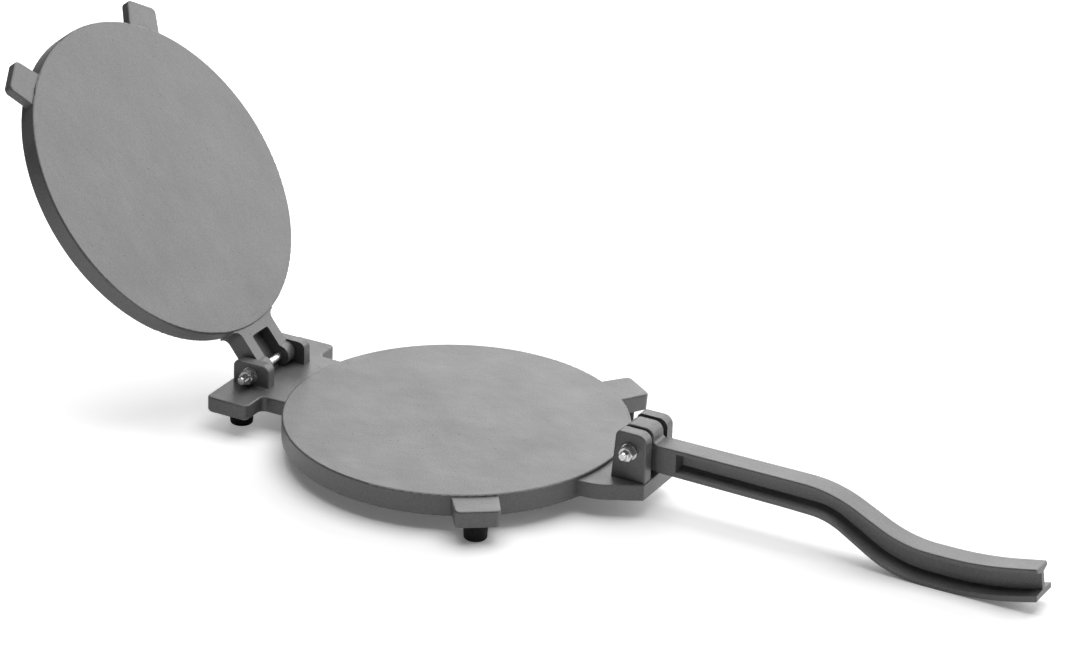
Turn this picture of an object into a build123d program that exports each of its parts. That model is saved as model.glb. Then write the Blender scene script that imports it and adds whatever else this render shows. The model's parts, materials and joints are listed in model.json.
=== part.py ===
from build123d import *
import os
from math import atan2, cos, degrees, hypot, radians, sin, sqrt, tan

# A cast-iron tortilla press, standing open: millimetres, +Z up, +X from the hinge to the lever.
# The origin is the centre of the base's pressing face. The front of the press is -Y.

# Pressing plates
plate_radius = 101.5
upper_plate_radius = 101.0
web_thickness = 5.0
rim_wall = 5.0
base_rim_depth = 13.5
upper_rim_depth = 11.3
plate_edge_radius = 1.0
casting_edge_radius = 1.0
plate_gap = 0.3

# Ribs under the base and on the back of the upper plate
rib_width = 4.0
rib_setback = 1.5
rib_diameters = 4
ring_rib_radius = 46.0

# Brackets and lugs cast on the base
bracket_top = -1.3
bracket_thickness = 10.2
hinge_bracket_beyond_pin = 14.2
hinge_bracket_inside_pin = 13.4
hinge_bracket_half_length = 50.7
neck_half_width = 33.3
neck_corner_radius = 3.5
bracket_corner_radius = 3.5
bracket_lower_radius = 2.5
lug_angle = 54.84
lug_length = 18.5
lug_root_half_width = 14.0
lug_tip_half_width = 13.1
lug_draft = 4.0

# Hinge ears and hinge bolt, M5
hinge_pin_offset = 23.9
hinge_z = 5.3
hinge_ear_inner = 17.0
hinge_ear_thickness = 7.0
hinge_ear_length = 24.0
hinge_ear_top = 12.6
hinge_ear_corner = 4.0
hinge_ear_root_radius = 1.5
hinge_pin_radius = 2.5
hinge_bolt_length = 60.0
hinge_bolt_thread = 16.0
hinge_bolt_pitch = 0.8
hinge_hex_width = 8.0
hinge_head_height = 3.5
hinge_nut_height = 4.7
hinge_washer_radius = 5.0
hinge_washer_thickness = 1.0

# Clevis at the lever end and pivot bolt, M5
pivot_pin_offset = 20.0
pivot_z = 16.5
clevis_bracket_top = -2.0
clevis_beyond_pin = 10.6
clevis_end_half_width = 18.8
clevis_root_half_width = 32.0
clevis_shoulder_offset = 6.0
clevis_shoulder_radius = 30.0
clevis_ear_inner = 9.6
clevis_ear_thickness = 7.6
clevis_ear_inside_pin = 11.7
clevis_ear_slant = 2.5
clevis_ear_top = 27.6
clevis_ear_left_corner = 3.5
clevis_ear_right_corner = 5.5
clevis_corner_radius = 1.4
clevis_edge_radius = 0.6
pivot_pin_radius = 2.5
pivot_bolt_length = 45.0
pivot_bolt_thread = 18.0
pivot_bolt_pitch = 0.8
pivot_hex_width = 8.0
pivot_head_height = 3.5
pivot_nut_height = 4.7
pivot_washer_radius = 5.0
pivot_washer_thickness = 1.0

# Screw threads and hexagons
thread_depth_per_pitch = 0.6134
hex_corner_angle = 30.0

# Clearances
pin_clearance = 0.08
screw_clearance = 0.05
running_gap = 0.3
washer_clearance = 0.2

# Upper plate: arm, eyes and lugs, given with the plate closed
open_angle = 128.43
arm_half_width = 16.5
arm_setback = 1.0
arm_back_above_pin = 7.7
arm_window_half_width = 8.5
arm_window_offset = 5.7
arm_window_corner = 1.5
arm_web_thickness = 4.0
arm_root_radius = 5.0
upper_lug_angle = 35.5
upper_lug_length = 16.5
upper_lug_root_half_width = 12.2
upper_lug_tip_half_width = 11.2
upper_lug_setback = 1.0
upper_lug_thickness = 6.0
upper_lug_corner = 3.5
pad_radius = 15.0

# Lever, given lying down with its grip on the floor
lever_head_half_width = 6.3
lever_arm_half_width = 7.2
lever_arm_start_beyond_pin = 12.0
lever_head_top = 27.6
lever_head_inside_pin = 10.0
lever_head_beyond_pin = 9.4
lever_head_corner = 5.5
lever_shoulder_root = 2.0
arm_top = 18.8
arm_bottom = 2.5
arm_bottom_angle = 0.76
top_bend_beyond_pin = 120.1
top_drop_angle = 25.7
top_bend_radius = 75.0
top_valley_radius = 70.0
bottom_bend_beyond_pin = 119.4
bottom_drop_angle = 29.7
bottom_bend_radius = 40.0
bottom_valley_radius = 70.0
grip_depth = 19.6
grip_top_bend_beyond_pin = 212.0
grip_top_angle = 11.5
grip_top_radius = 200.0
grip_bottom_bend_beyond_pin = 216.8
grip_bottom_angle = 15.0
grip_bottom_radius = 210.0
lever_end_beyond_pin = 246.2
lever_end_lean = 2.6
grip_half_width = 10.0
grip_flare_start_beyond_pin = 93.5
grip_flare_end_beyond_pin = 178.5
grip_flare_radius = 300.0
lever_end_corner = 1.2
lever_edge_radius = 0.8

# Flanges of the lever, each as thick at the web and as thick at the grip's sides
lever_web = 3.0
lever_block_beyond_pin = 26.2
pocket_end_slant = 2.8
top_flange = (4.2, 1.4)
arm_flange = (6.1, 1.3)
grip_flange = (4.2, 3.7)

# Rubber feet and their screws, M4 pan head
foot_height = 11.4
foot_top_radius = 7.2
foot_bottom_radius = 6.7
foot_edge_radius = 1.4
foot_recess_radius = 4.3
foot_recess_depth = 5.0
foot_bore_radius = 2.2
hinge_foot_beyond_pin = 1.7
hinge_foot_y = 31.0
lug_foot_gap = 0.3
screw_radius = 2.0
screw_length = 12.0
screw_head_radius = 3.8
screw_head_height = 2.6
screw_slot_width = 1.0
screw_slot_length = 4.4
screw_slot_depth = 1.4
screw_hole_spare = 1.0

# Worked out from the sizes above
hinge_x = -(plate_radius + hinge_pin_offset)
hinge_bracket_outer_x = hinge_x - hinge_bracket_beyond_pin
hinge_bracket_inner_x = hinge_x + hinge_bracket_inside_pin
hinge_foot_x = hinge_x - hinge_foot_beyond_pin
lug_reach = plate_radius + lug_length
pivot_x = plate_radius + pivot_pin_offset
clevis_end_x = pivot_x + clevis_beyond_pin
clevis_shoulder_x = plate_radius + clevis_shoulder_offset
clevis_ear_left_x = pivot_x - clevis_ear_inside_pin
arm_window_start_x = -(upper_plate_radius + arm_window_offset)
upper_lug_reach = upper_plate_radius + upper_lug_length
lever_head_left_x = pivot_x - lever_head_inside_pin
lever_head_right_x = pivot_x + lever_head_beyond_pin
lever_arm_start_x = pivot_x + lever_arm_start_beyond_pin
lever_block_end_x = pivot_x + lever_block_beyond_pin
top_bend_x = pivot_x + top_bend_beyond_pin
bottom_bend_x = pivot_x + bottom_bend_beyond_pin
grip_flare_start_x = pivot_x + grip_flare_start_beyond_pin
grip_flare_end_x = pivot_x + grip_flare_end_beyond_pin
grip_top_bend_x = pivot_x + grip_top_bend_beyond_pin
grip_bottom_bend_x = pivot_x + grip_bottom_bend_beyond_pin
lever_end_x = pivot_x + lever_end_beyond_pin
bracket_bottom = bracket_top - bracket_thickness
floor_z = bracket_bottom - foot_height
hinge_ear_outer = hinge_ear_inner + hinge_ear_thickness
clevis_ear_outer = clevis_ear_inner + clevis_ear_thickness
hinge_head_seat = hinge_ear_outer + hinge_washer_thickness
pivot_head_seat = clevis_ear_outer + pivot_washer_thickness
foot_seat_z = floor_z + foot_recess_depth
folded_arm_z = 2 * pivot_z - arm_top


def polar(radius, angle):
    return (radius * cos(radians(angle)), radius * sin(radians(angle)))


def edges_outside(part, plane, radius, height):
    """Edges at this height over the plane that lie outside a circle about its origin."""
    def chosen(edge):
        middle = plane.to_local_coords(edge.center())
        return abs(middle.Z - height) < pin_clearance and hypot(middle.X, middle.Y) > radius + running_gap
    return part.edges().filter_by(chosen)


def edges_across(part, y):
    """Edges that lie in the plane at this Y, from the lowest up."""
    return part.edges().filter_by_position(Axis.Y, y - pin_clearance, y + pin_clearance).sort_by(Axis.Z)


lug_foot_reach = plate_radius + lug_foot_gap + foot_top_radius
foot_places = {
    "hinge_front": (hinge_foot_x, -hinge_foot_y),
    "hinge_back": (hinge_foot_x, hinge_foot_y),
    "lug_front": polar(lug_foot_reach, -lug_angle),
    "lug_back": polar(lug_foot_reach, lug_angle),
}


def add_ribs(plane, radius, height):
    """A ring rib and full-width radial ribs, standing on the web inside the rim."""
    with BuildSketch(plane) as ribs:
        Circle(ring_rib_radius + rib_width / 2)
        Circle(ring_rib_radius - rib_width / 2, mode=Mode.SUBTRACT)
        with PolarLocations(0, rib_diameters, angular_range=180):
            Rectangle(2 * radius - rim_wall, rib_width)
    extrude(ribs.sketch, amount=height)


def make_base_plate():
    with BuildPart() as base:
        # Round plate
        with BuildSketch(Plane.XY):
            Circle(plate_radius)
        extrude(amount=-base_rim_depth)
        fillet(base.edges().filter_by(GeomType.CIRCLE), plate_edge_radius)
        # T-shaped hinge bracket on a narrower neck
        neck_root_x = -(plate_radius - 2 * rim_wall)
        with BuildSketch(Plane.XY.offset(bracket_top)):
            with BuildLine():
                FilletPolyline(
                    (hinge_bracket_outer_x, -hinge_bracket_half_length),
                    (hinge_bracket_inner_x, -hinge_bracket_half_length),
                    (hinge_bracket_inner_x, -neck_half_width),
                    (neck_root_x, -neck_half_width),
                    (neck_root_x, neck_half_width),
                    (hinge_bracket_inner_x, neck_half_width),
                    (hinge_bracket_inner_x, hinge_bracket_half_length),
                    (hinge_bracket_outer_x, hinge_bracket_half_length),
                    radius=(
                        bracket_corner_radius,
                        bracket_corner_radius,
                        neck_corner_radius,
                        0,
                        0,
                        neck_corner_radius,
                        bracket_corner_radius,
                        bracket_corner_radius,
                    ),
                    close=True,
                )
            make_face()
        extrude(amount=-bracket_thickness)
        fillet(base.edges().group_by(Axis.X)[0].sort_by(Axis.Z)[0], bracket_lower_radius)
        fillet(edges_outside(base, Plane.XY, plate_radius, bracket_top), casting_edge_radius)
        # Clevis bracket, flared where it joins the plate
        clevis_root_x = plate_radius - 2 * rim_wall
        with BuildSketch(Plane.XY.offset(clevis_bracket_top)):
            with BuildLine():
                FilletPolyline(
                    (clevis_root_x, -clevis_root_half_width),
                    (clevis_shoulder_x, -clevis_root_half_width),
                    (clevis_end_x, -clevis_end_half_width),
                    (clevis_end_x, clevis_end_half_width),
                    (clevis_shoulder_x, clevis_root_half_width),
                    (clevis_root_x, clevis_root_half_width),
                    radius=(
                        0,
                        clevis_shoulder_radius,
                        clevis_corner_radius,
                        clevis_corner_radius,
                        clevis_shoulder_radius,
                        0,
                    ),
                    close=True,
                )
            make_face()
        extrude(amount=bracket_bottom - clevis_bracket_top)
        fillet(edges_outside(base, Plane.XY, plate_radius, clevis_bracket_top), clevis_edge_radius)
        # Side lugs
        for side in (-1, 1):
            lug_plane = Plane.XY.offset(bracket_top).rotated((0, 0, side * lug_angle))
            lug_root = plate_radius - rim_wall
            with BuildSketch(lug_plane):
                with BuildLine():
                    FilletPolyline(
                        (lug_root, -lug_root_half_width),
                        (lug_reach, -lug_tip_half_width),
                        (lug_reach, lug_tip_half_width),
                        (lug_root, lug_root_half_width),
                        radius=(0, bracket_corner_radius, bracket_corner_radius, 0),
                        close=True,
                    )
                make_face()
            extrude(amount=-bracket_thickness, taper=lug_draft)
        fillet(edges_outside(base, Plane.XY, plate_radius, bracket_top), casting_edge_radius)
        # Hollow underside with its ribs
        with BuildSketch(Plane.XY.offset(-web_thickness)):
            Circle(plate_radius - rim_wall)
        extrude(amount=-base_rim_depth, mode=Mode.SUBTRACT)
        rib_height = base_rim_depth - web_thickness - rib_setback
        add_ribs(Plane.XY.offset(-web_thickness), plate_radius, -rib_height)
        # Hinge ears
        ear_root_z = bracket_top - plate_edge_radius
        ear_left = hinge_x - hinge_ear_length / 2
        ear_right = hinge_x + hinge_ear_length / 2
        for side in (-1, 1):
            with BuildSketch(Plane.XZ.offset(side * hinge_ear_inner)):
                with BuildLine():
                    FilletPolyline(
                        (ear_left, ear_root_z),
                        (ear_left, hinge_ear_top),
                        (ear_right, hinge_ear_top),
                        (ear_right, ear_root_z),
                        radius=(0, hinge_ear_corner, hinge_ear_corner, 0),
                        close=True,
                    )
                make_face()
            extrude(amount=side * hinge_ear_thickness)
            fillet(edges_across(base, -side * hinge_ear_outer)[0], hinge_ear_root_radius)
            fillet(edges_across(base, -side * hinge_ear_outer)[1:], casting_edge_radius)
        # Clevis ears, standing just inside the rounded end of their bracket
        clevis_ear_right_x = clevis_end_x - clevis_edge_radius
        for side in (-1, 1):
            with BuildSketch(Plane.XZ.offset(side * clevis_ear_inner)):
                with BuildLine():
                    FilletPolyline(
                        (clevis_ear_left_x, clevis_bracket_top - plate_edge_radius),
                        (clevis_ear_left_x + clevis_ear_slant, clevis_ear_top),
                        (clevis_ear_right_x, clevis_ear_top),
                        (clevis_ear_right_x, clevis_bracket_top - plate_edge_radius),
                        radius=(0, clevis_ear_left_corner, clevis_ear_right_corner, 0),
                        close=True,
                    )
                make_face()
            extrude(amount=side * clevis_ear_thickness)
            fillet(edges_across(base, -side * clevis_ear_outer)[1:], casting_edge_radius)
        # Bolt holes through both pairs of ears
        with Locations(Plane((hinge_x, -hinge_ear_outer, hinge_z), z_dir=(0, -1, 0))):
            Hole(hinge_pin_radius + pin_clearance, depth=2 * hinge_ear_outer)
        with Locations(Plane((pivot_x, -clevis_ear_outer, pivot_z), z_dir=(0, -1, 0))):
            Hole(pivot_pin_radius + pin_clearance, depth=2 * clevis_ear_outer)
        # Tapped holes for the foot screws
        screw_hole_depth = foot_seat_z + screw_length + screw_hole_spare - bracket_bottom
        for x, y in foot_places.values():
            with Locations(Plane((x, y, bracket_bottom), z_dir=(0, 0, -1))):
                Hole(screw_radius + screw_clearance, depth=screw_hole_depth)
    return base


def make_upper_plate():
    along = (cos(radians(open_angle)), 0, sin(radians(open_angle)))
    outward = (-sin(radians(open_angle)), 0, cos(radians(open_angle)))
    pin = (hinge_x, 0, hinge_z)
    # On both planes, local X runs from the hinge pin to the plate's centre.
    flat = Plane(origin=pin, x_dir=along, z_dir=outward)
    side = Plane(origin=pin, x_dir=along, z_dir=(0, -1, 0))
    centre = -hinge_x
    face = plate_gap - hinge_z
    back = face + upper_rim_depth
    with BuildPart() as upper:
        # Round plate
        with BuildSketch(flat.offset(face)):
            with Locations((centre, 0)):
                Circle(upper_plate_radius)
        extrude(amount=upper_rim_depth)
        fillet(upper.edges().filter_by(GeomType.CIRCLE), plate_edge_radius)
        # Lugs on the far side from the hinge
        with BuildSketch(flat.offset(face + upper_lug_setback)) as lugs:
            for turn in (-upper_lug_angle, upper_lug_angle):
                with Locations(Location((centre, 0), turn)):
                    Polygon(
                        (upper_plate_radius - rim_wall, -upper_lug_root_half_width),
                        (upper_lug_reach, -upper_lug_tip_half_width),
                        (upper_lug_reach, upper_lug_tip_half_width),
                        (upper_plate_radius - rim_wall, upper_lug_root_half_width),
                        align=None,
                    )
            tips = lugs.vertices().filter_by(lambda tip: hypot(tip.X - centre, tip.Y) > upper_lug_reach)
            fillet(tips, upper_lug_corner)
        extrude(amount=upper_lug_thickness)
        disc_plane = Plane(flat.from_local_coords((centre, 0, 0)), x_dir=along, z_dir=outward)
        lug_face = face + upper_lug_setback
        for height in (lug_face, lug_face + upper_lug_thickness):
            fillet(edges_outside(upper, disc_plane, upper_plate_radius, height), casting_edge_radius)
        # Arm with an eye: the flat behind the eye is the heel that stops the open plate
        eye_radius = hinge_z - bracket_top - running_gap
        arm_face = face + arm_setback
        arm_root = centre - upper_plate_radius + rim_wall / 2
        eye_start = degrees(atan2(arm_face, sqrt(eye_radius**2 - arm_face**2)))
        heel_angle = 270 - open_angle
        heel_x, heel_z = polar(eye_radius, heel_angle)
        heel_rise = arm_back_above_pin - heel_z
        heel_corner_x = heel_x + heel_rise * sin(radians(heel_angle)) / -cos(radians(heel_angle))
        with BuildSketch(side):
            with BuildLine():
                eye = CenterArc((0, 0), eye_radius, eye_start, heel_angle - 360 - eye_start)
                Polyline(
                    eye @ 1,
                    (heel_corner_x, arm_back_above_pin),
                    (arm_root, arm_back_above_pin),
                    (arm_root, arm_face),
                    eye @ 0,
                )
            make_face()
        extrude(amount=arm_half_width + arm_root_radius, both=True)
        # Sides of the arm, which widen in a curve to meet the rim
        arm_side_end = centre - sqrt(upper_plate_radius**2 - arm_half_width**2)
        outside = arm_half_width + 2 * arm_root_radius
        for edge_side in (-1, 1):
            with BuildSketch(flat.offset(arm_face - eye_radius)):
                with BuildLine():
                    FilletPolyline(
                        (-2 * eye_radius, edge_side * arm_half_width),
                        (arm_side_end, edge_side * arm_half_width),
                        (arm_side_end, edge_side * outside),
                        (-2 * eye_radius, edge_side * outside),
                        radius=(0, arm_root_radius, 0, 0),
                        close=True,
                    )
                make_face()
            extrude(amount=4 * eye_radius, mode=Mode.SUBTRACT)
        # Channel between the two eyes, open at the front and closed by a web at the back
        window_length = centre + arm_window_start_x + 2 * eye_radius
        web_front = arm_back_above_pin - arm_web_thickness
        with BuildSketch(flat.offset(web_front)):
            with Locations((window_length / 2 - 2 * eye_radius, 0)):
                RectangleRounded(window_length, 2 * arm_window_half_width, arm_window_corner)
        extrude(amount=-(web_front + 2 * eye_radius), mode=Mode.SUBTRACT)
        # Hollow back with its ribs
        with BuildSketch(flat.offset(face + web_thickness)):
            with Locations((centre, 0)):
                Circle(upper_plate_radius - rim_wall)
        extrude(amount=upper_rim_depth, mode=Mode.SUBTRACT)
        ribbed = Plane(flat.offset(face + web_thickness).from_local_coords((centre, 0, 0)),
                       x_dir=along, z_dir=outward)
        add_ribs(ribbed, upper_plate_radius, upper_rim_depth - web_thickness - rib_setback)
        # Pad in the middle of the back, which the folded lever presses on
        with BuildSketch(ribbed):
            Circle(pad_radius)
        pad_top = folded_arm_z - running_gap - hinge_z
        extrude(amount=pad_top - face - web_thickness, taper=lug_draft)
        # Hole for the hinge bolt
        with Locations(Plane((hinge_x, -arm_half_width, hinge_z), z_dir=(0, -1, 0))):
            Hole(hinge_pin_radius + pin_clearance, depth=2 * arm_half_width)
    return upper


# Corners of the lever's side view, with the grip's underside on the floor
top_valley_z = floor_z + grip_depth
top_valley_x = top_bend_x + (arm_top - top_valley_z) / tan(radians(top_drop_angle))
top_radii = (top_bend_radius, top_valley_radius, grip_top_radius)
bottom_radii = (grip_bottom_radius, bottom_valley_radius, bottom_bend_radius)


def grip_top_z(x):
    return top_valley_z + (x - grip_top_bend_x) * tan(radians(grip_top_angle))


def grip_bottom_z(x):
    return floor_z + (x - grip_bottom_bend_x) * tan(radians(grip_bottom_angle))


def arm_bottom_z(x):
    return arm_bottom - (x - lever_head_left_x) * tan(radians(arm_bottom_angle))


bottom_bend_z = arm_bottom_z(bottom_bend_x)
bottom_valley_x = bottom_bend_x + (bottom_bend_z - floor_z) / tan(radians(bottom_drop_angle))


def top_corners(end_x, inset):
    """The lever's upper line from the arm to this X in the grip, this much lower."""
    return (
        (top_bend_x, arm_top - inset),
        (top_valley_x, top_valley_z - inset),
        (grip_top_bend_x, top_valley_z - inset),
        (end_x, grip_top_z(end_x) - inset),
    )


def bottom_corners(end_x, grip_inset, arm_inset):
    """The lever's lower line from this X in the grip to the arm, this much higher."""
    return (
        (end_x, grip_bottom_z(end_x) + grip_inset),
        (grip_bottom_bend_x, floor_z + grip_inset),
        (bottom_valley_x, floor_z + arm_inset),
        (bottom_bend_x, bottom_bend_z + arm_inset),
    )


def add_pocket_outline(start_x, end_x, top, arm, grip):
    """The hollow beside the lever's web, between flanges of these thicknesses."""
    FilletPolyline(
        (start_x, arm_top - top),
        *top_corners(end_x, top),
        *bottom_corners(end_x, grip, arm),
        (start_x, arm_bottom_z(start_x) + arm),
        radius=(0, *top_radii, 0, 0, *bottom_radii, 0),
        close=True,
    )


def make_lever():
    with BuildPart() as lever:
        # Outline wider than the grip, then cut to its width in plan
        with BuildSketch(Plane.XZ):
            with BuildLine():
                FilletPolyline(
                    (lever_head_left_x, arm_bottom),
                    (lever_head_left_x, lever_head_top),
                    (lever_head_right_x, lever_head_top),
                    (lever_head_right_x, arm_top),
                    *top_corners(lever_end_x, 0),
                    *bottom_corners(lever_end_x + lever_end_lean, 0, 0),
                    radius=(
                        lever_head_corner,
                        lever_head_corner,
                        lever_head_corner,
                        lever_shoulder_root,
                        *top_radii,
                        lever_end_corner,
                        lever_end_corner,
                        *bottom_radii,
                    ),
                    close=True,
                )
            make_face()
        beyond = 2 * grip_half_width
        reach = lever_end_x + beyond
        extrude(amount=beyond, both=True)
        for side in (-1, 1):
            with BuildSketch(Plane.XY.offset(floor_z - beyond)):
                with BuildLine():
                    FilletPolyline(
                        (lever_head_left_x - beyond, side * lever_head_half_width),
                        (lever_arm_start_x, side * lever_head_half_width),
                        (lever_arm_start_x, side * lever_arm_half_width),
                        (grip_flare_start_x, side * lever_arm_half_width),
                        (grip_flare_end_x, side * grip_half_width),
                        (reach, side * grip_half_width),
                        (reach, side * 2 * beyond),
                        (lever_head_left_x - beyond, side * 2 * beyond),
                        radius=(0, 0, 0, grip_flare_radius, grip_flare_radius, 0, 0, 0),
                        close=True,
                    )
                make_face()
            extrude(amount=lever_head_top - floor_z + 2 * beyond, mode=Mode.SUBTRACT)
        # The flared bottom flange stays wide, everything above it is as narrow as the arm
        for side in (-1, 1):
            with BuildSketch(Plane.XZ.offset(-side * lever_arm_half_width)):
                with BuildLine():
                    FilletPolyline(
                        (lever_block_end_x, arm_top - top_flange[0]),
                        *top_corners(reach, top_flange[0]),
                        (reach, grip_top_z(reach) + beyond),
                        (lever_block_end_x, arm_top + beyond),
                        radius=(0, *top_radii, 0, 0, 0),
                        close=True,
                    )
                make_face()
            extrude(amount=-side * beyond, mode=Mode.SUBTRACT)
        # Pockets on both sides of the web, with tapered flanges
        depths = (lever_web / 2, grip_half_width)
        starts = (lever_block_end_x, lever_block_end_x - pocket_end_slant)
        pocket_faces = tuple(zip(depths, starts, top_flange, arm_flange, grip_flange))
        for side in (-1, 1):
            for depth, start_x, top, arm, grip in pocket_faces:
                with BuildSketch(Plane.XZ.offset(-side * depth)):
                    with BuildLine():
                        add_pocket_outline(start_x, reach, top, arm, grip)
                    make_face()
            loft(ruled=True, mode=Mode.SUBTRACT)
        # The top edges of the head and of the arm are rounded, with all that runs on smoothly from them
        for edge_y in (lever_head_half_width, lever_arm_half_width):
            for side in (-1, 1):
                fillet(edges_across(lever, side * edge_y)[-1], lever_edge_radius)
        with Locations(Plane((pivot_x, -lever_head_half_width, pivot_z), z_dir=(0, -1, 0))):
            Hole(pivot_pin_radius + pin_clearance, depth=2 * lever_head_half_width)
    return lever


def add_hexagon(plane, width, height, both_ends):
    """A hexagon of the given width across flats with its corners turned off."""
    corner_radius = width / 2 / cos(radians(hex_corner_angle))
    bevel = (corner_radius - width / 2) * tan(radians(hex_corner_angle))
    with BuildSketch(plane) as hexagon:
        RegularPolygon(width / 2, 6, major_radius=False)
    extrude(hexagon.sketch, amount=height)
    profile_plane = Plane(plane.origin, x_dir=plane.x_dir, z_dir=-plane.y_dir)
    start_radius = width / 2 if both_ends else corner_radius
    with BuildSketch(profile_plane) as turned:
        with BuildLine():
            Polyline(
                (0, 0),
                (start_radius, 0),
                (corner_radius, bevel),
                (corner_radius, height - bevel),
                (width / 2, height),
                (0, height),
                close=True,
            )
        make_face()
    revolve(turned.sketch, axis=Axis(plane.origin, plane.z_dir), mode=Mode.INTERSECT)


def make_bolt(place, seat_y, radius, length, thread_length, pitch, hex_width, head_height):
    """A hexagon bolt along -Y, its head on the far side, with ring grooves for its thread."""
    x, z = place
    head_plane = Plane((x, seat_y, z), x_dir=(1, 0, 0), z_dir=(0, 1, 0))
    shank_plane = Plane((x, seat_y, z), x_dir=(1, 0, 0), z_dir=(0, 0, 1))
    root_radius = radius - thread_depth_per_pitch * pitch
    turns = int(thread_length / pitch) - 1
    shank = [(0, pitch), (radius, pitch), (radius, -(length - thread_length))]
    for turn in range(turns):
        start = length - thread_length + turn * pitch
        shank.append((root_radius, -(start + pitch / 2)))
        shank.append((radius, -(start + pitch)))
    shank.append((root_radius, -length))
    shank.append((0, -length))
    with BuildPart() as bolt:
        add_hexagon(head_plane, hex_width, head_height, False)
        with BuildSketch(shank_plane):
            with BuildLine():
                Polyline(*shank, close=True)
            make_face()
        revolve(axis=Axis((x, seat_y, z), (0, 1, 0)))
    return bolt


def make_nut(place, seat_y, radius, hex_width, height):
    """A hexagon nut that seats at seat_y and stands out towards -Y."""
    x, z = place
    plane = Plane((x, seat_y, z), x_dir=(1, 0, 0), z_dir=(0, -1, 0))
    with BuildPart() as nut:
        add_hexagon(plane, hex_width, height, True)
        with BuildSketch(plane):
            Circle(radius + screw_clearance)
        extrude(amount=height, mode=Mode.SUBTRACT)
    return nut


def make_washer(place, low_y, bore_radius, radius, thickness):
    x, z = place
    with BuildPart() as washer:
        with BuildSketch(Plane((x, low_y, z), x_dir=(1, 0, 0), z_dir=(0, 1, 0))):
            Circle(radius)
            Circle(bore_radius + washer_clearance, mode=Mode.SUBTRACT)
        extrude(amount=thickness)
    return washer


def make_foot(x, y):
    """A rubber foot: a tapered round block with a recess for the screw head."""
    with BuildPart() as foot:
        with BuildSketch(Plane((x, y, 0), x_dir=(1, 0, 0), z_dir=(0, -1, 0))):
            with BuildLine():
                FilletPolyline(
                    (foot_bore_radius, bracket_bottom),
                    (foot_top_radius, bracket_bottom),
                    (foot_bottom_radius, floor_z),
                    (foot_recess_radius, floor_z),
                    (foot_recess_radius, foot_seat_z),
                    (foot_bore_radius, foot_seat_z),
                    radius=(0, 0, foot_edge_radius, 0, 0, 0),
                    close=True,
                )
            make_face()
        revolve(axis=Axis((x, y, 0), (0, 0, 1)))
    return foot


def make_screw(x, y):
    """A pan-head screw with a cross slot, driven up through the foot."""
    with BuildPart() as screw:
        head_bottom = foot_seat_z - screw_head_height
        with BuildSketch(Plane((x, y, 0), x_dir=(1, 0, 0), z_dir=(0, -1, 0))):
            with BuildLine():
                FilletPolyline(
                    (0, foot_seat_z + screw_length),
                    (screw_radius, foot_seat_z + screw_length),
                    (screw_radius, foot_seat_z),
                    (screw_head_radius, foot_seat_z),
                    (screw_head_radius, head_bottom),
                    (0, head_bottom),
                    radius=(0, 0, 0, 0, screw_head_height / 2, 0),
                    close=True,
                )
            make_face()
        revolve(axis=Axis((x, y, 0), (0, 0, 1)))
        with BuildSketch(Plane((x, y, head_bottom))):
            Rectangle(screw_slot_length, screw_slot_width)
            Rectangle(screw_slot_width, screw_slot_length)
        extrude(amount=screw_slot_depth, mode=Mode.SUBTRACT)
    return screw


hinge_place = (hinge_x, hinge_z)
pivot_place = (pivot_x, pivot_z)

pieces = {
    "base_plate": make_base_plate(),
    "upper_plate": make_upper_plate(),
    "lever": make_lever(),
    "hinge_bolt": make_bolt(
        hinge_place,
        hinge_head_seat,
        hinge_pin_radius,
        hinge_bolt_length,
        hinge_bolt_thread,
        hinge_bolt_pitch,
        hinge_hex_width,
        hinge_head_height,
    ),
    "hinge_nut": make_nut(
        hinge_place, -hinge_head_seat, hinge_pin_radius, hinge_hex_width, hinge_nut_height
    ),
    "hinge_head_washer": make_washer(
        hinge_place, hinge_ear_outer, hinge_pin_radius, hinge_washer_radius, hinge_washer_thickness
    ),
    "hinge_nut_washer": make_washer(
        hinge_place, -hinge_head_seat, hinge_pin_radius, hinge_washer_radius, hinge_washer_thickness
    ),
    "pivot_bolt": make_bolt(
        pivot_place,
        pivot_head_seat,
        pivot_pin_radius,
        pivot_bolt_length,
        pivot_bolt_thread,
        pivot_bolt_pitch,
        pivot_hex_width,
        pivot_head_height,
    ),
    "pivot_nut": make_nut(
        pivot_place, -pivot_head_seat, pivot_pin_radius, pivot_hex_width, pivot_nut_height
    ),
    "pivot_head_washer": make_washer(
        pivot_place, clevis_ear_outer, pivot_pin_radius, pivot_washer_radius, pivot_washer_thickness
    ),
    "pivot_nut_washer": make_washer(
        pivot_place, -pivot_head_seat, pivot_pin_radius, pivot_washer_radius, pivot_washer_thickness
    ),
}
for place_name, (foot_x, foot_y) in foot_places.items():
    pieces["foot_" + place_name] = make_foot(foot_x, foot_y)
    pieces["foot_screw_" + place_name] = make_screw(foot_x, foot_y)

os.makedirs("parts", exist_ok=True)
for name, piece in pieces.items():
    piece.part.label = name
    export_step(piece.part, "parts/" + name + ".step")
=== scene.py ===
import json
from math import cos, radians, sin

import bpy
from mathutils import Matrix, Vector


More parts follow.
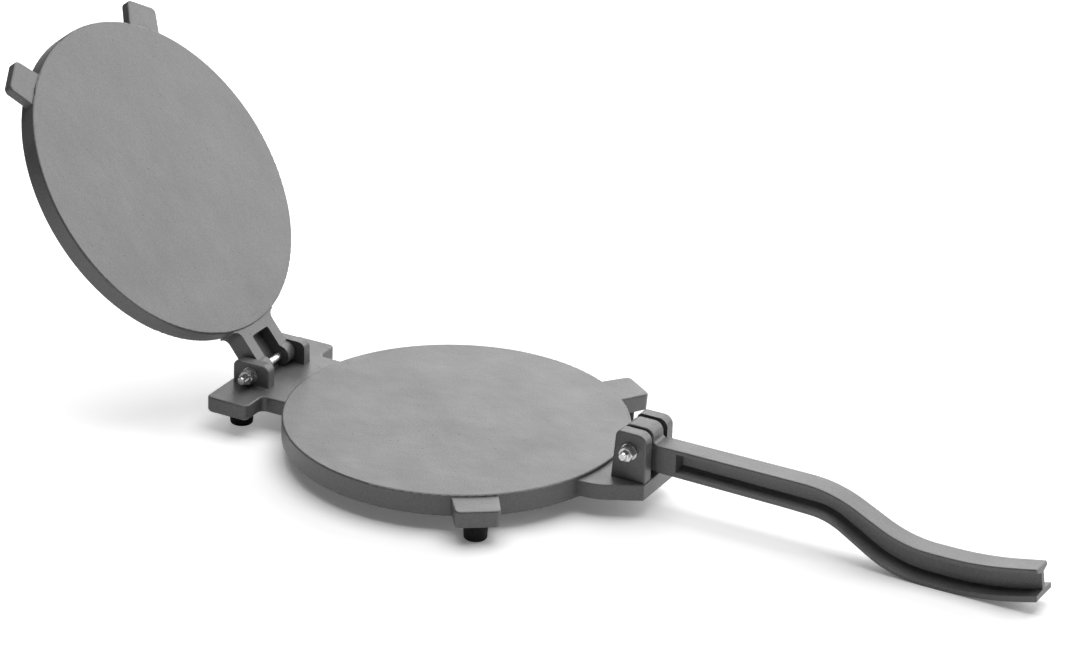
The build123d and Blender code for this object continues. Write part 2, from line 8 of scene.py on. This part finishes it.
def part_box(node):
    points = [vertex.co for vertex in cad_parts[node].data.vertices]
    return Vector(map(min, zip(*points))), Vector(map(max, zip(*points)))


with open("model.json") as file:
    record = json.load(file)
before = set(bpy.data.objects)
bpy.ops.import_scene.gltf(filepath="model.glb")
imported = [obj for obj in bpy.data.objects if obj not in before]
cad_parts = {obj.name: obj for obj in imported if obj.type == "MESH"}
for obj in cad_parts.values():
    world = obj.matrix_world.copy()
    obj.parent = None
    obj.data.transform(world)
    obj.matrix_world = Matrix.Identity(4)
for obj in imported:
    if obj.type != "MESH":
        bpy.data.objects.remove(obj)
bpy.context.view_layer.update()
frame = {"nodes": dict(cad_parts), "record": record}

# Camera, in metres, degrees and millimetres of lens and sensor: azimuth 0 looks along +Y
camera_place = Vector((1.1967626, -2.1831393, 1.1907754))
camera_azimuth = 27.657892
camera_elevation = 24.441485
camera_roll = 1.878908
camera_lens = 158.4634
sensor_width = 36.0

# Lamps, in metres: they stand behind, above and to the right, and the front stays dark
world_fill = 0.06
softboxes = (
    # name, place, aimed at, width, height, watts per square metre
    ("back_softbox", (0.3, 2.8, 1.25), (0.0, 0.0, 0.1), 5.2, 1.9, 10.5),
    ("top_softbox", (0.0, 0.5, 2.5), (0.0, 0.0, 0.0), 3.0, 2.6, 9.0),
    ("right_softbox", (2.4, 0.9, 1.0), (0.0, 0.0, 0.1), 1.4, 1.4, 6.0),
)

# Floor, in metres: a shade that lights the object, and a lighter one that is seen
floor_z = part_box("foot_hinge_front")[0].z
floor_size = 30.0
floor_shade = 0.80
floor_seen_shade = 1.0
floor_lift = 0.12
# Painted light: the camera sees the floor lighter under the leaning upper plate, which softens the
# plate's shadow there, more and more from one X to another
painted_light_strength = 0.38
painted_light_start_x = -0.08
painted_light_full_x = -0.17

# Noises: scale per metre, detail and roughness
iron_grain = (1000.0, 2.0, 0.6)
iron_cloud = (26.0, 4.0, 0.6)
iron_wave = (75.0, 2.0, 0.4)
steel_stain = (500.0, 3.0, 0.6)
rubber_dust = (700.0, 3.0, 0.6)

# Pits: cells per metre, the distance over which a pit runs out, and the cells that have one
iron_pit_scale = 230.0
iron_pit_edge = (0.06, 0.16)
iron_pit_choice = (0.86, 0.9)

# Shades of grey at the dark and the light end, each as noise value and shade
iron_tones = ((0.3, 0.06), (0.7, 0.115))
steel_tones = ((0.3, 0.48), (0.65, 0.72))
rubber_tones = ((0.3, 0.004), (0.75, 0.012))
# What grain, clouds and pits give to the value that the iron's shade comes from
iron_grain_share = 0.6
iron_cloud_share = 0.4
iron_pit_share = 0.3

# Roughness at the low and the high end of the noise, and those two ends
iron_roughness = (0.36, 0.48)
steel_roughness = (0.34, 0.22)
rubber_roughness = 0.6
roughness_ends = (0.3, 0.7)

# Bumps: height in metres and strength
iron_wave_bump = (0.0005, 0.5)
iron_grain_bump = (0.0003, 0.35)
iron_pit_bump = (-0.0002, 0.6)
steel_bump = (0.0001, 0.15)
rubber_bump = (0.0002, 0.3)

# Reflection
iron_ior = 1.7
rubber_specular = 0.15


def add_camera():
    azimuth = radians(camera_azimuth)
    elevation = radians(camera_elevation)
    roll = radians(camera_roll)
    forward = Vector((
        -sin(azimuth) * cos(elevation),
        cos(azimuth) * cos(elevation),
        -sin(elevation),
    ))
    level = Vector((cos(azimuth), sin(azimuth), 0))
    above = level.cross(forward)
    right = cos(roll) * level + sin(roll) * above
    up = right.cross(forward)
    turn = Matrix((right, up, -forward)).transposed().to_4x4()
    camera = bpy.data.cameras.new("camera")
    camera.lens = camera_lens
    camera.sensor_width = sensor_width
    holder = bpy.data.objects.new("camera", camera)
    holder.matrix_world = Matrix.Translation(camera_place) @ turn
    bpy.context.scene.collection.objects.link(holder)
    bpy.context.scene.camera = holder


def new_material(name):
    material = bpy.data.materials.new(name)
    material.use_nodes = True
    material.node_tree.nodes.clear()
    return material, material.node_tree


def add_node(tree, kind, links=None, **values):
    """A new node with links and values by the names of its sockets, with _ for spaces in values."""
    node = tree.nodes.new(kind)
    for socket, value in values.items():
        node.inputs[socket.replace("_", " ")].default_value = value
    for socket, source in (links or {}).items():
        tree.links.new(source, node.inputs[socket])
    return node


def object_place(tree):
    return tree.nodes.new("ShaderNodeTexCoord").outputs["Object"]


def grey(shade):
    return (shade, shade, shade, 1.0)


def add_math(tree, operation, first, second):
    """A maths node whose two inputs are numbers or sockets."""
    node = tree.nodes.new("ShaderNodeMath")
    node.operation = operation
    for index, value in enumerate((first, second)):
        if isinstance(value, (int, float)):
            node.inputs[index].default_value = value
        else:
            tree.links.new(value, node.inputs[index])
    return node.outputs[0]


def add_range(tree, source, ends, results):
    """The source's value, spread from one range over another and held inside it."""
    node = add_node(
        tree,
        "ShaderNodeMapRange",
        links={"Value": source},
        From_Min=ends[0],
        From_Max=ends[1],
        To_Min=results[0],
        To_Max=results[1],
    )
    return node.outputs["Result"]


def add_noise(tree, place, scale, detail, roughness):
    noise = add_node(
        tree,
        "ShaderNodeTexNoise",
        links={"Vector": place},
        Scale=scale,
        Detail=detail,
        Roughness=roughness,
    )
    return noise.outputs["Fac"]


def add_tone(tree, source, tones):
    """Shades of grey over the source's value."""
    ramp = add_node(tree, "ShaderNodeValToRGB", links={"Fac": source})
    for element, (position, shade) in zip(ramp.color_ramp.elements, tones):
        element.position = position
        element.color = grey(shade)
    return ramp.outputs["Color"]


def add_bump(tree, source, height, strength, normal=None):
    links = {"Height": source}
    if normal is not None:
        links["Normal"] = normal
    bump = add_node(tree, "ShaderNodeBump", links=links, Distance=height, Strength=strength)
    return bump.outputs["Normal"]


def finish_material(tree, shader):
    output = tree.nodes.new("ShaderNodeOutputMaterial")
    tree.links.new(shader.outputs[0], output.inputs["Surface"])


def floor_material():
    """White paper: it is seen lighter than it lights the object, and under the leaning upper plate
    painted light makes it lighter still, softening the plate's shadow.
    """
    material, tree = new_material("floor")
    path = tree.nodes.new("ShaderNodeLightPath").outputs
    seen = add_math(tree, "MAXIMUM", path["Is Camera Ray"], path["Is Glossy Ray"])
    seen = add_math(tree, "MAXIMUM", seen, path["Is Transmission Ray"])
    shade = add_range(tree, seen, (0.0, 1.0), (floor_shade, floor_seen_shade))
    paper = add_node(tree, "ShaderNodeBsdfDiffuse", links={"Color": shade})
    apart = add_node(tree, "ShaderNodeSeparateXYZ", links={"Vector": object_place(tree)})
    # Painted light for camera rays under the leaning upper plate, softening its shadow on the floor
    painted_light_ends = (painted_light_start_x, painted_light_full_x)
    painted_light = add_range(tree, apart.outputs["X"], painted_light_ends, (0.0, painted_light_strength))
    painted_light = add_math(tree, "MULTIPLY", painted_light, path["Is Camera Ray"])
    lifted = add_math(tree, "ADD", add_math(tree, "MULTIPLY", seen, floor_lift), painted_light)
    lift = add_node(tree, "ShaderNodeEmission", links={"Strength": lifted}, Color=grey(1.0))
    both = tree.nodes.new("ShaderNodeAddShader")
    tree.links.new(paper.outputs[0], both.inputs[0])
    tree.links.new(lift.outputs[0], both.inputs[1])
    finish_material(tree, both)
    return material


def add_floor():
    half = floor_size / 2
    corners = [
        (-half, -half, floor_z),
        (half, -half, floor_z),
        (half, half, floor_z),
        (-half, half, floor_z),
    ]
    mesh = bpy.data.meshes.new("floor")
    mesh.from_pydata(corners, [], [(0, 1, 2, 3)])
    mesh.materials.append(floor_material())
    floor = bpy.data.objects.new("floor", mesh)
    bpy.context.scene.collection.objects.link(floor)


def add_world():
    """A faint fill, white where the camera sees it."""
    world = bpy.data.worlds.new("studio")
    bpy.context.scene.world = world
    world.use_nodes = True
    tree = world.node_tree
    tree.nodes.clear()
    path = tree.nodes.new("ShaderNodeLightPath")
    fill = add_node(tree, "ShaderNodeBackground", Color=grey(1.0), Strength=world_fill)
    white = add_node(tree, "ShaderNodeBackground", Color=grey(1.0), Strength=1.0)
    pick = tree.nodes.new("ShaderNodeMixShader")
    output = tree.nodes.new("ShaderNodeOutputWorld")
    tree.links.new(path.outputs["Is Camera Ray"], pick.inputs[0])
    tree.links.new(fill.outputs[0], pick.inputs[1])
    tree.links.new(white.outputs[0], pick.inputs[2])
    tree.links.new(pick.outputs[0], output.inputs["Surface"])


def add_softbox(name, place, aim, width, height, strength):
    """A rectangular area lamp that faces a point, its strength in watts per square metre."""
    light = bpy.data.lights.new(name, "AREA")
    light.shape = "RECTANGLE"
    light.size = width
    light.size_y = height
    light.energy = strength * width * height
    holder = bpy.data.objects.new(name, light)
    holder.location = place
    facing = Vector(aim) - Vector(place)
    holder.rotation_euler = facing.to_track_quat("-Z", "Y").to_euler()
    bpy.context.scene.collection.objects.link(holder)
    holder.visible_camera = False


def add_pits(tree, place):
    """1 in the middles of some of the cells, 0 elsewhere."""
    cells = add_node(
        tree,
        "ShaderNodeTexVoronoi",
        links={"Vector": place},
        Scale=iron_pit_scale,
        Randomness=1.0,
    )
    near = add_range(tree, cells.outputs["Distance"], iron_pit_edge, (1.0, 0.0))
    parts = add_node(tree, "ShaderNodeSeparateColor", links={"Color": cells.outputs["Color"]})
    chosen = add_range(tree, parts.outputs["Red"], iron_pit_choice, (0.0, 1.0))
    return add_math(tree, "MULTIPLY", near, chosen)


def cast_iron():
    """Sand-cast iron: fine grain, soft clouds, a wavy skin and a few small pits."""
    material, tree = new_material("cast_iron")
    place = object_place(tree)
    grain = add_noise(tree, place, *iron_grain)
    cloud = add_noise(tree, place, *iron_cloud)
    wave = add_noise(tree, place, *iron_wave)
    pits = add_pits(tree, place)
    grain_part = add_math(tree, "MULTIPLY", grain, iron_grain_share)
    cloud_part = add_math(tree, "MULTIPLY", cloud, iron_cloud_share)
    pit_part = add_math(tree, "MULTIPLY", pits, iron_pit_share)
    mixed = add_math(tree, "ADD", grain_part, cloud_part)
    mixed = add_math(tree, "SUBTRACT", mixed, pit_part)
    skin = add_bump(tree, wave, *iron_wave_bump)
    skin = add_bump(tree, grain, *iron_grain_bump, normal=skin)
    skin = add_bump(tree, pits, *iron_pit_bump, normal=skin)
    shader = add_node(
        tree,
        "ShaderNodeBsdfPrincipled",
        links={
            "Base Color": add_tone(tree, mixed, iron_tones),
            "Roughness": add_range(tree, cloud, roughness_ends, iron_roughness),
            "Normal": skin,
        },
        IOR=iron_ior,
    )
    finish_material(tree, shader)
    return material


def plated_steel():
    """Zinc-plated steel, bright with dull stains."""
    material, tree = new_material("plated_steel")
    stain = add_noise(tree, object_place(tree), *steel_stain)
    shader = add_node(
        tree,
        "ShaderNodeBsdfPrincipled",
        links={
            "Base Color": add_tone(tree, stain, steel_tones),
            "Roughness": add_range(tree, stain, roughness_ends, steel_roughness),
            "Normal": add_bump(tree, stain, *steel_bump),
        },
        Metallic=1.0,
    )
    finish_material(tree, shader)
    return material


def rubber():
    """Black rubber with a little dust."""
    material, tree = new_material("rubber")
    dust = add_noise(tree, object_place(tree), *rubber_dust)
    shader = add_node(
        tree,
        "ShaderNodeBsdfPrincipled",
        links={
            "Base Color": add_tone(tree, dust, rubber_tones),
            "Normal": add_bump(tree, dust, *rubber_bump),
        },
        Roughness=rubber_roughness,
        Specular_IOR_Level=rubber_specular,
    )
    finish_material(tree, shader)
    return material


add_camera()
add_floor()
add_world()
for softbox in softboxes:
    add_softbox(*softbox)

finishes = {"cast_iron": cast_iron(), "plated_steel": plated_steel(), "rubber": rubber()}
for subpart in frame["record"]["subparts"]:
    piece = frame["nodes"][subpart["node"]]
    piece.data.materials.clear()
    piece.data.materials.append(finishes[subpart["material_slot"]])

bpy.context.scene.view_settings.view_transform = "Standard"
